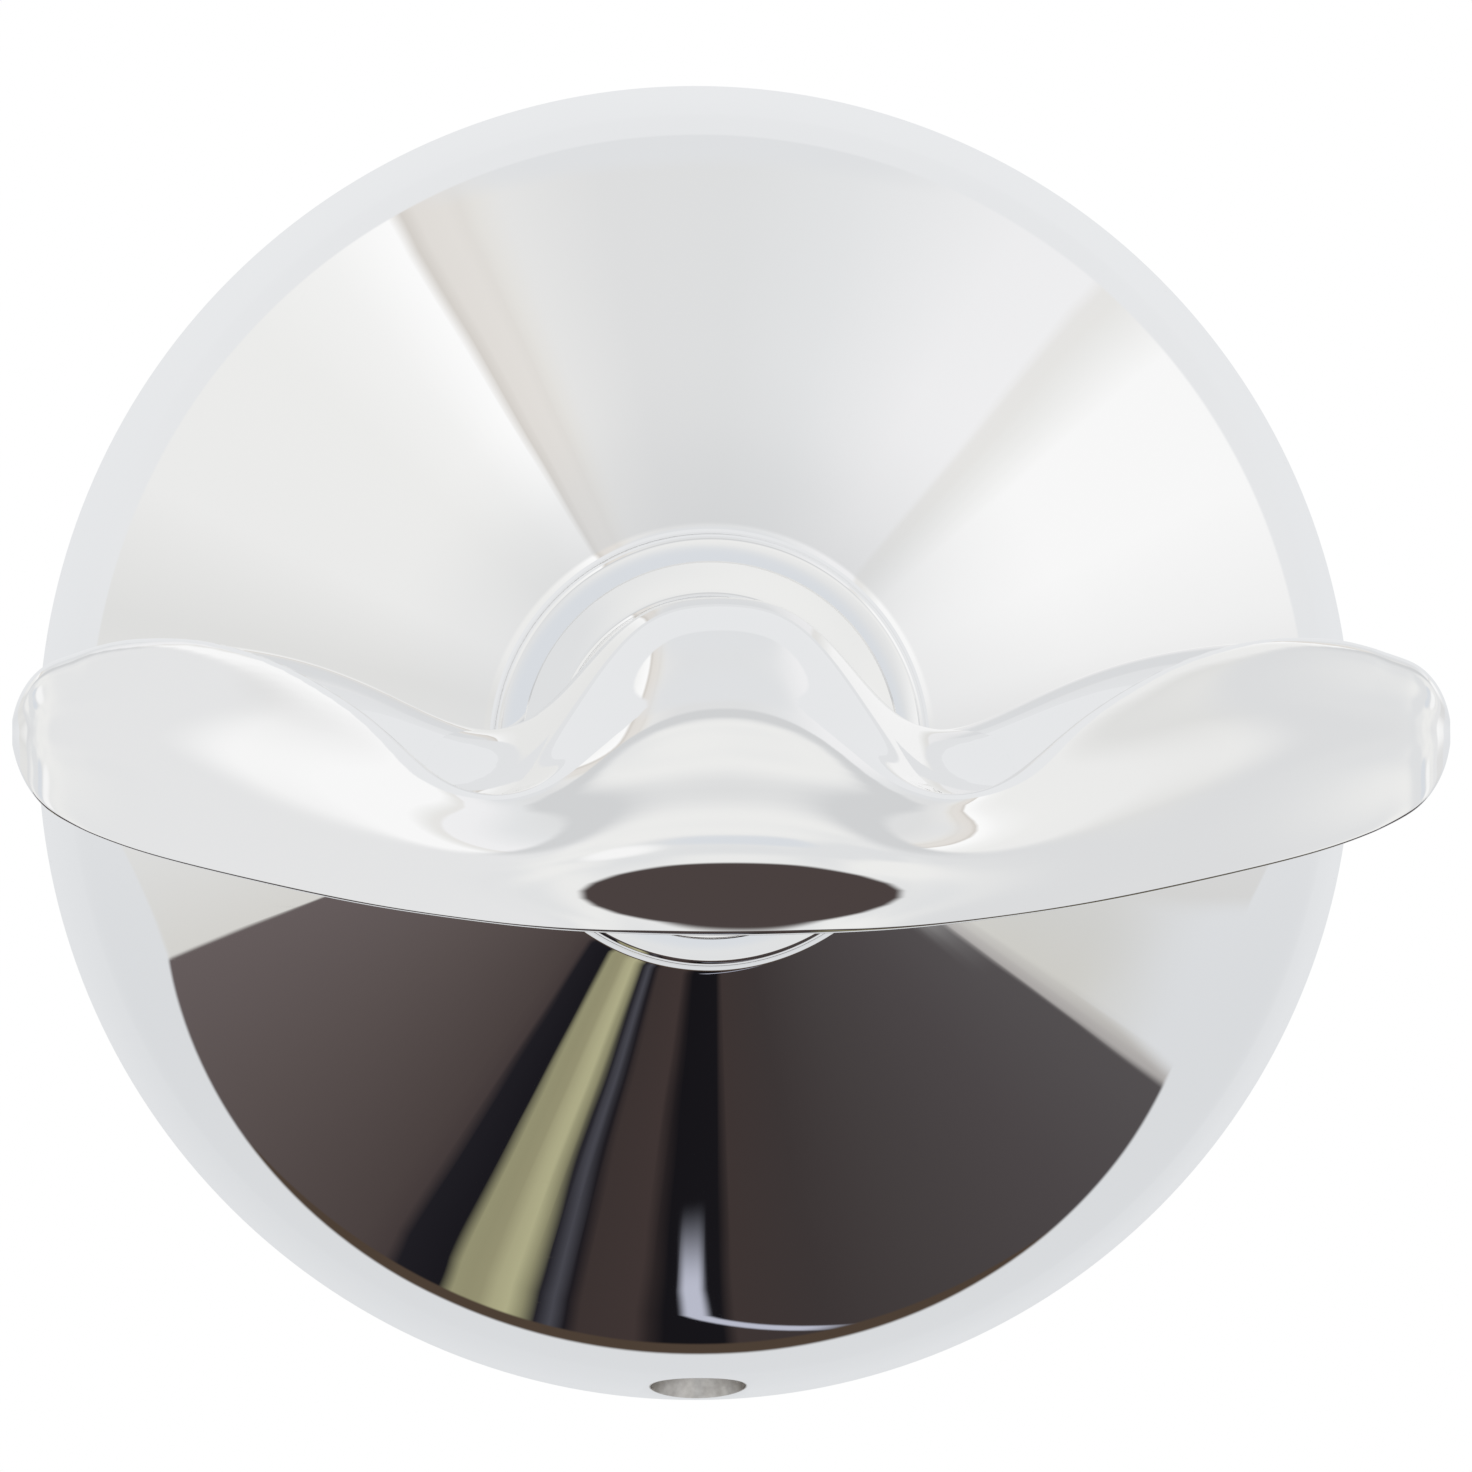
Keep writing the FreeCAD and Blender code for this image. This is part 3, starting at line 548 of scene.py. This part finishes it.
class Graph:
    """Short ways to add maths and colour nodes to a node tree."""

    def __init__(self, tree):
        self.tree = tree

    def set(self, socket, value):
        if isinstance(value, bpy.types.NodeSocket):
            self.tree.links.new(value, socket)
        else:
            socket.default_value = value

    def maths(self, operation, *values):
        node = self.tree.nodes.new("ShaderNodeMath")
        node.operation = operation
        for socket, value in zip(node.inputs, values):
            self.set(socket, value)
        return node.outputs[0]

    def between(self, value, low, high):
        """0 below low, 1 above high and smooth in between."""
        node = self.tree.nodes.new("ShaderNodeMapRange")
        node.interpolation_type = "SMOOTHSTEP"
        self.set(node.inputs["Value"], value)
        self.set(node.inputs["From Min"], low)
        self.set(node.inputs["From Max"], high)
        return node.outputs["Result"]

    def mix(self, share, first, second):
        node = self.tree.nodes.new("ShaderNodeMix")
        node.data_type = "RGBA"
        self.set(node.inputs["Factor"], share)
        self.set(node.inputs[6], first)
        self.set(node.inputs[7], second)
        return node.outputs[2]

    def angle_ramp(self, share, stops):
        """The stops' colours by angle, where share is the share of the turn."""
        node = self.tree.nodes.new("ShaderNodeValToRGB")
        elements = node.color_ramp.elements
        while len(elements) < len(stops):
            elements.new(1)
        for element, (degrees, colour) in zip(elements, stops):
            element.position = share_of_turn(degrees)
            element.color = solid(colour)
        self.set(node.inputs["Fac"], share)
        return node.outputs["Color"]

    def split(self, place):
        node = self.tree.nodes.new("ShaderNodeSeparateXYZ")
        self.set(node.inputs[0], place)
        return node.outputs

    def dot(self, place, other):
        node = self.tree.nodes.new("ShaderNodeVectorMath")
        node.operation = "DOT_PRODUCT"
        self.set(node.inputs[0], place)
        self.set(node.inputs[1], other)
        return node.outputs["Value"]

    def noise(self, place, scale, detail):
        node = self.tree.nodes.new("ShaderNodeTexNoise")
        node.inputs["Scale"].default_value = scale
        node.inputs["Detail"].default_value = detail
        self.tree.links.new(place, node.inputs["Vector"])
        return node.outputs["Fac"]

    def stretched(self, place, scales):
        node = self.tree.nodes.new("ShaderNodeVectorMath")
        node.operation = "MULTIPLY"
        self.tree.links.new(place, node.inputs[0])
        node.inputs[1].default_value = scales
        return node.outputs["Vector"]

    def bump(self, height, relief):
        """A normal from a height between 0 and 1, which stands for a relief in mm."""
        node = self.tree.nodes.new("ShaderNodeBump")
        node.inputs["Distance"].default_value = relief * MM
        self.tree.links.new(height, node.inputs["Height"])
        return node.outputs["Normal"]


def new_material(name):
    """An empty material with one shader."""
    material = bpy.data.materials.new(name)
    material.use_nodes = True
    nodes = material.node_tree.nodes
    nodes.clear()
    output = nodes.new("ShaderNodeOutputMaterial")
    shader = nodes.new("ShaderNodeBsdfPrincipled")
    material.node_tree.links.new(shader.outputs["BSDF"], output.inputs["Surface"])
    return material, shader


def surface(name, metallic, grain_size, tones, gloss, relief):
    """A material mottled in colour and gloss, with a fine relief.

    grain_size is in mm, tones are two colours, gloss is two roughnesses, relief is in mm.
    """
    material, shader = new_material(name)
    graph = Graph(material.node_tree)
    place = material.node_tree.nodes.new("ShaderNodeTexCoord").outputs["Object"]
    shader.inputs["Metallic"].default_value = metallic
    patches = graph.noise(place, 1 / (grain_size * 6 * MM), 3)
    grain = graph.noise(place, 1 / (grain_size * MM), 4)
    colour = graph.mix(graph.between(patches, 0.35, 0.65), (*tones[0], 1), (*tones[1], 1))
    graph.set(shader.inputs["Base Color"], colour)
    blend = graph.maths("MULTIPLY_ADD", patches, 0.5, graph.maths("MULTIPLY", grain, 0.5))
    rough = graph.between(blend, 0.35, 0.65)
    rough = graph.maths("MULTIPLY_ADD", rough, gloss[1] - gloss[0], gloss[0])
    graph.set(shader.inputs["Roughness"], rough)
    graph.set(shader.inputs["Normal"], graph.bump(grain, relief))
    return material, shader, graph, place


def tapped_hole(graph, place):
    """Where the plating does not reach into the set screw's hole, and the bare metal's colour."""
    x, y, z = graph.split(place)
    behind = graph.maths("ADD", y, SET_SCREW_DEPTH * MM)
    across = graph.maths("MULTIPLY_ADD", behind, behind, graph.maths("MULTIPLY", x, x))
    edge = (SET_SCREW_HOLE_R + UNPLATED_MARGIN) * MM
    inside = graph.maths("LESS_THAN", graph.maths("SQRT", across), edge)
    low = graph.maths("LESS_THAN", z, UNPLATED_BELOW * MM)
    raw = graph.mix(graph.noise(place, RAW_METAL_SCALE, 3), RAW_DARK, RAW_LIGHT)
    return graph.maths("MULTIPLY", inside, low), raw


def chrome_material():
    """Polished plating: slow waves of the casting below it, and faint hairlines from wiping."""
    material, shader = new_material("chrome")
    graph = Graph(material.node_tree)
    place = material.node_tree.nodes.new("ShaderNodeTexCoord").outputs["Object"]
    shader.inputs["Metallic"].default_value = 1
    haze = graph.between(graph.noise(place, HAZE_SCALE, 4), 0.4, 0.8)
    hairlines = graph.noise(graph.stretched(place, HAIRLINES), 1, 2)
    hairlines = graph.between(hairlines, 0.70, 0.78)
    crossing = graph.noise(graph.stretched(place, CROSSING_HAIRLINES), 1, 2)
    crossing = graph.between(crossing, 0.72, 0.8)
    rough = graph.maths("MULTIPLY_ADD", haze, HAZE_ADDS, CLEAN)
    rough = graph.maths("MULTIPLY_ADD", graph.maths("MAXIMUM", hairlines, crossing), HAIRLINE_ADDS, rough)
    unplated, raw = tapped_hole(graph, place)
    rough = graph.maths("MULTIPLY_ADD", unplated, UNPLATED_ADDS, rough)
    colour = graph.mix(unplated, (CHROME_SHADE, CHROME_SHADE, CHROME_SHADE, 1), raw)
    graph.set(shader.inputs["Base Color"], colour)
    graph.set(shader.inputs["Roughness"], rough)
    graph.set(shader.inputs["Normal"], graph.bump(graph.noise(place, WAVE_SCALE, 1), WAVE_RELIEF))
    return material


def zinc_plated_material():
    """Bright zinc with the cloudy patches of its passivation."""
    tones = ((0.56, 0.58, 0.60), (0.70, 0.69, 0.62))
    return surface("zinc_plated_steel", 1, 0.5, tones, (0.22, 0.42), 0.01)[0]


def spring_steel_material():
    """Dark oiled steel, rubbed brighter in places."""
    tones = ((0.20, 0.20, 0.21), (0.36, 0.35, 0.34))
    return surface("spring_steel", 1, 0.3, tones, (0.28, 0.5), 0.006)[0]


def stainless_material():
    """Machined stainless steel with fine tool marks."""
    tones = ((0.55, 0.55, 0.54), (0.63, 0.62, 0.61))
    material, shader, graph, place = surface("stainless_steel", 1, 0.4, tones, (0.18, 0.3), 0.004)
    marks = graph.noise(graph.stretched(place, TOOL_MARKS), 1, 2)
    graph.set(shader.inputs["Normal"], graph.bump(marks, TOOL_MARK_RELIEF))
    return material


def cast_zinc_material():
    """Rough die casting, tumbled but not plated."""
    tones = ((0.38, 0.39, 0.41), (0.47, 0.48, 0.49))
    return surface("bracket_zinc", 1, 0.35, tones, (0.38, 0.6), 0.03)[0]


def nylon_material():
    """Milky moulded nylon that lets a little light in."""
    tones = ((0.70, 0.70, 0.67), (0.78, 0.78, 0.75))
    material, shader, *_ = surface("nylon", 0, 0.25, tones, (0.42, 0.58), 0.008)
    shader.inputs["Subsurface Weight"].default_value = 0.15
    shader.inputs["Subsurface Scale"].default_value = 0.4 * MM
    return material


def paint(piece, material):
    piece.data.materials.clear()
    piece.data.materials.append(material)


# ---- studio ---------------------------------------------------------------------------------

# The light tent's walls, and what shows through its open side below the camera. Both are
# (angle, colour): the angle goes round the hook's axis in degrees from +X towards +Z, and the
# colour is the one that a mirror shows on screen.
WALLS = (
    (-180, (0.885, 0.885, 0.88)),
    (-167, (0.86, 0.86, 0.855)),
    (-157, (0.83, 0.825, 0.81)),
    (-35.5, (0.66, 0.645, 0.64)),
    (-32.5, (0.805, 0.80, 0.78)),
    (-25, (0.81, 0.81, 0.80)),
    (-12, (0.84, 0.84, 0.84)),
    (0, (0.87, 0.87, 0.87)),
    (12, (0.94, 0.94, 0.94)),
    (24, (0.97, 0.97, 0.97)),
    (38, (0.97, 0.97, 0.97)),
    (43, (0.915, 0.915, 0.91)),
    (46.2, (0.89, 0.885, 0.875)),
    (47.2, (0.935, 0.935, 0.94)),
    (56, (0.93, 0.93, 0.935)),
    (72, (0.885, 0.89, 0.895)),
    (84, (0.868, 0.872, 0.875)),
    (98, (0.868, 0.870, 0.872)),
    (108, (0.893, 0.893, 0.891)),
    (111, (0.893, 0.886, 0.872)),
    (112, (0.852, 0.842, 0.824)),
    (112.8, (0.885, 0.872, 0.856)),
    (117.2, (0.875, 0.86, 0.842)),
    (118, (0.80, 0.78, 0.755)),
    (119, (0.985, 0.985, 0.985)),
    (127, (0.945, 0.945, 0.942)),
    (136, (0.925, 0.925, 0.92)),
    (155, (0.92, 0.92, 0.917)),
    (168, (0.87, 0.87, 0.865)),
    (180, (0.885, 0.885, 0.88)),
)
OPENING = (
    (-156, (0.395, 0.36, 0.36)),
    (-140, (0.35, 0.315, 0.31)),
    (-122, (0.29, 0.255, 0.25)),
    (-118.8, (0.26, 0.225, 0.225)),
    (-118.2, (0.12, 0.115, 0.135)),
    (-113.7, (0.10, 0.095, 0.115)),
    (-113.1, (0.58, 0.57, 0.45)),
    (-110, (0.56, 0.545, 0.43)),
    (-107.3, (0.70, 0.69, 0.55)),
    (-105.6, (0.62, 0.61, 0.48)),
    (-105.1, (0.10, 0.095, 0.11)),
    (-103.9, (0.14, 0.135, 0.16)),
    (-103.3, (0.31, 0.31, 0.34)),
    (-102.5, (0.27, 0.27, 0.30)),
    (-101.9, (0.11, 0.10, 0.12)),
    (-100.7, (0.12, 0.11, 0.125)),
    (-100.1, (0.235, 0.20, 0.195)),
    (-93.2, (0.25, 0.21, 0.205)),
    (-92.6, (0.085, 0.08, 0.095)),
    (-85.4, (0.09, 0.085, 0.10)),
    (-84.6, (0.24, 0.205, 0.20)),
    (-76, (0.235, 0.21, 0.21)),
    (-65, (0.265, 0.245, 0.246)),
    (-50, (0.295, 0.275, 0.28)),
    (-37, (0.325, 0.31, 0.315)),
)
# Colours that a mirror shows of the rest of the tent.
FRONT_SHADE, FRONT_LIGHT = (0.87, 0.875, 0.88), (0.925, 0.925, 0.92)
FRONT_LEFT, FRONT_RIGHT = (0.858, 0.862, 0.867), (0.893, 0.895, 0.898)
FRONT_TOP, FRONT_MIDDLE = (0.815, 0.82, 0.825), (0.845, 0.86, 0.88)
LAMP, ZENITH = (0.96, 0.96, 0.96), (0.872, 0.878, 0.886)
UNDER_TABLE = (0.29, 0.255, 0.25)
POLE, TABLE_EDGE = (0.72, 0.73, 0.79), (0.30, 0.25, 0.21)
TABLE_NEAR, TABLE_FAR = (0.85, 0.858, 0.868), (0.90, 0.905, 0.912)
# Each pair is where one thing starts and where it is complete. The opening's two are in degrees.
# The others are measures of the mirrored direction (x, y, z), where -Y points to the camera.
OPENING_LEFT, OPENING_RIGHT = (-156.8, -156.2), (-35.3, -36.3)
FRONT_EDGE, FRONT_LOW_EDGE = (-0.69, -0.583), (-0.02, 0.02)
CENTRE_EDGE, LAMP_EDGE = (-0.9995, -0.992), (0.985, 0.9985)
ZENITH_EDGE, UNDER_TABLE_EDGE = (0.88, 0.97), (-0.70, -0.64)
TABLE_START, EDGE_START = (-0.03, 0.02), (-0.17, -0.13)
POLE_WIDTH, POLE_TOP, POLE_BOTTOM = (0.032, 0.01), (-0.54, -0.50), (-0.1, -0.25)
CLOUD_SCALE, CLOUD_EDGE = 2.5, (0.35, 0.65)
RIGHT_EDGE, TOP_EDGE, GREY_EDGE = (-0.1, 0.3), (0.35, 0.6), (0.2, 0.5)
OPENING_EDGE, TABLE_FAR_EDGE = (0.0, -0.3), (-0.5, 0.4)
LAMP_AT = (0.25, -0.965, -0.08)
# The front's two borders are slanted by these shares of x, and its lower one lies at this height.
FRONT_SLANT, LOW_SLANT, LOW_BORDER = -0.045, 0.087, -0.455
# The pole's angle in radians at its top, the y where it starts to lean, and how much it leans
# per unit of y.
POLE_ANGLE, POLE_STRAIGHT, POLE_LEAN = -1.55, -0.5, 0.7
# How the table curls up away from the opening's middle: both angles are in degrees.
OPENING_MIDDLE, CURL_START, CURL_STEEPNESS, HIGHEST_CURL = -95, 20, 0.93, 0.5


def tent_pole(graph, angle, y):
    """1 on a bright pole that leans across the opening, just in front of the table."""
    along = graph.maths("MAXIMUM", graph.maths("SUBTRACT", y, POLE_STRAIGHT), 0.0)
    centre = graph.maths("MULTIPLY_ADD", along, POLE_LEAN, POLE_ANGLE)
    away = graph.maths("ABSOLUTE", graph.maths("SUBTRACT", angle, centre))
    near = graph.between(away, *POLE_WIDTH)
    reach = graph.maths("MULTIPLY", graph.between(y, *POLE_TOP), graph.between(y, *POLE_BOTTOM))
    return graph.maths("MULTIPLY", near, reach)


def pale_front(graph, direction, x, y, z):
    """The tent's side towards the camera: cloudy, greyer round its edge, with a lamp in it."""
    cloud = graph.between(graph.noise(direction, CLOUD_SCALE, 1), *CLOUD_EDGE)
    pale = graph.mix(cloud, solid(FRONT_SHADE), solid(FRONT_LIGHT))
    greyer = graph.mix(graph.between(x, *RIGHT_EDGE), solid(FRONT_LEFT), solid(FRONT_RIGHT))
    greyer = graph.mix(graph.between(z, *TOP_EDGE), greyer, solid(FRONT_TOP))
    # the grey edge starts further out below the middle than above it
    upward = graph.maths("MULTIPLY", graph.maths("MULTIPLY", z, graph.maths("ABSOLUTE", z)), 1.5)
    outward = graph.maths("ADD", graph.maths("MULTIPLY", x, x), upward)
    pale = graph.mix(graph.between(outward, *GREY_EDGE), pale, greyer)
    pale = graph.mix(graph.between(y, *CENTRE_EDGE), solid(FRONT_MIDDLE), pale)
    lamp = graph.between(graph.dot(direction, LAMP_AT), *LAMP_EDGE)
    return graph.mix(lamp, pale, solid(LAMP))


def table_horizon(graph, angle, y, below):
    """y, raised at both corners of the opening, where the table curls up."""
    corner = graph.maths("ABSOLUTE", graph.maths("SUBTRACT", angle, math.radians(OPENING_MIDDLE)))
    corner = graph.maths("MAXIMUM", graph.maths("SUBTRACT", corner, math.radians(CURL_START)), 0.0)
    curl = graph.maths("MULTIPLY", graph.maths("MULTIPLY", corner, corner), CURL_STEEPNESS)
    curl = graph.maths("MINIMUM", curl, HIGHEST_CURL)
    return graph.maths("ADD", y, graph.maths("MULTIPLY", curl, below))


def tent_colour(graph, direction):
    """What the chrome mirrors in each direction."""
    x, y, z = graph.split(direction)
    angle = graph.maths("ARCTAN2", z, x)
    share = graph.maths("MULTIPLY_ADD", angle, 1 / (2 * math.pi), 0.5)
    left = graph.between(share, *map(share_of_turn, OPENING_LEFT))
    right = graph.between(share, *map(share_of_turn, OPENING_RIGHT))
    opening = graph.maths("MULTIPLY", left, right)
    sides = graph.mix(opening, graph.angle_ramp(share, WALLS), graph.angle_ramp(share, OPENING))
    sides = graph.mix(graph.between(z, *ZENITH_EDGE), sides, solid(ZENITH))
    # towards the camera the tent is closed again, down to a slanted lower edge
    front = graph.between(graph.maths("MULTIPLY_ADD", x, FRONT_SLANT, y), *FRONT_EDGE)
    closed = graph.mix(front, pale_front(graph, direction, x, y, z), sides)
    gap = graph.mix(tent_pole(graph, angle, y), sides, solid(POLE))
    gap = graph.mix(graph.between(y, *UNDER_TABLE_EDGE), solid(UNDER_TABLE), gap)
    low = graph.maths("ADD", graph.maths("MULTIPLY_ADD", x, LOW_SLANT, -LOW_BORDER), z)
    tent = graph.mix(graph.between(low, *FRONT_LOW_EDGE), gap, closed)
    # behind the object's own plane everything is the pale table, with a brown edge
    below = graph.between(z, *OPENING_EDGE)
    edge = graph.maths("MULTIPLY", graph.between(y, *EDGE_START), graph.maths("MULTIPLY", below, opening))
    tent = graph.mix(edge, tent, solid(TABLE_EDGE))
    table = graph.mix(graph.between(z, *TABLE_FAR_EDGE), solid(TABLE_NEAR), solid(TABLE_FAR))
    horizon = table_horizon(graph, angle, y, below)
    return graph.mix(graph.between(horizon, *TABLE_START), tent, table)


def build_world():
    """A light tent that the chrome mirrors. The camera itself sees plain white."""
    world = bpy.data.worlds.new("light_tent")
    bpy.context.scene.world = world
    world.use_nodes = True
    tree = world.node_tree
    tree.nodes.clear()
    graph = Graph(tree)
    direction = tree.nodes.new("ShaderNodeTexCoord").outputs["Generated"]
    rays = tree.nodes.new("ShaderNodeLightPath")
    shown = graph.mix(rays.outputs["Is Camera Ray"], tent_colour(graph, direction), (1.0, 1.0, 1.0, 1))
    shine = tree.nodes.new("ShaderNodeBackground")
    graph.set(shine.inputs["Color"], shown)
    output = tree.nodes.new("ShaderNodeOutputWorld")
    graph.set(output.inputs["Surface"], shine.outputs[0])


def build_floor():
    """A plain pale floor below the object, which the chrome doesn't mirror."""
    reach, height = 900, -150
    corners = [(x * reach, y * reach, height) for x, y in ((-1, -1), (1, -1), (1, 1), (-1, 1))]
    floor = piece_from("floor", corners, [(0, 1, 2, 3)])
    material, shader = new_material("floor")
    shader.inputs["Base Color"].default_value = (0.85, 0.85, 0.85, 1)
    shader.inputs["Roughness"].default_value = 0.8
    paint(floor, material)
    floor.visible_glossy = False


def build_camera():
    """Almost straight on: 2.2 degrees to the left of the axis and 0.9 degrees above it."""
    left, above, distance = math.radians(2.2), math.radians(0.9), 600 * MM
    aim = Vector((1.583, -3.0, 0.348)) * MM
    back = Vector((-math.sin(left), -math.cos(left), math.tan(above))) * math.cos(above)
    data = bpy.data.cameras.new("camera")
    data.sensor_width = 36
    data.lens = 352
    data.clip_start = 0.01
    camera = bpy.data.objects.new("camera", data)
    bpy.context.scene.collection.objects.link(camera)
    camera.location = aim + back * distance
    camera.rotation_euler = (-back).to_track_quat("-Z", "Y").to_euler()
    bpy.context.scene.camera = camera


# ---- assembly -------------------------------------------------------------------------------

build_camera()
build_world()
build_floor()
bpy.context.scene.view_settings.view_transform = "Standard"

chrome = chrome_material()
cover = build_cover()
paint(cover, chrome)
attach(cover, "cover")
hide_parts("escutcheon")

hook = build_hook()
paint(hook, chrome)
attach(hook, "cover")
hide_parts("hook_body")

set_screw = build_set_screw()
paint(set_screw, stainless_material())
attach(set_screw, "set_screw")
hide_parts("set_screw")

zinc_plated = zinc_plated_material()
nylon = nylon_material()
for name, material in (
    ("hook_screw", zinc_plated),
    ("flat_washer", zinc_plated),
    ("upper_wall_screw", zinc_plated),
    ("lower_wall_screw", zinc_plated),
    ("spring_washer", spring_steel_material()),
    ("locating_pin", set_screw.data.materials[0]),
    ("wall_bracket", cast_zinc_material()),
    ("upper_wall_anchor", nylon),
    ("lower_wall_anchor", nylon),
):
    paint(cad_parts[name], material)
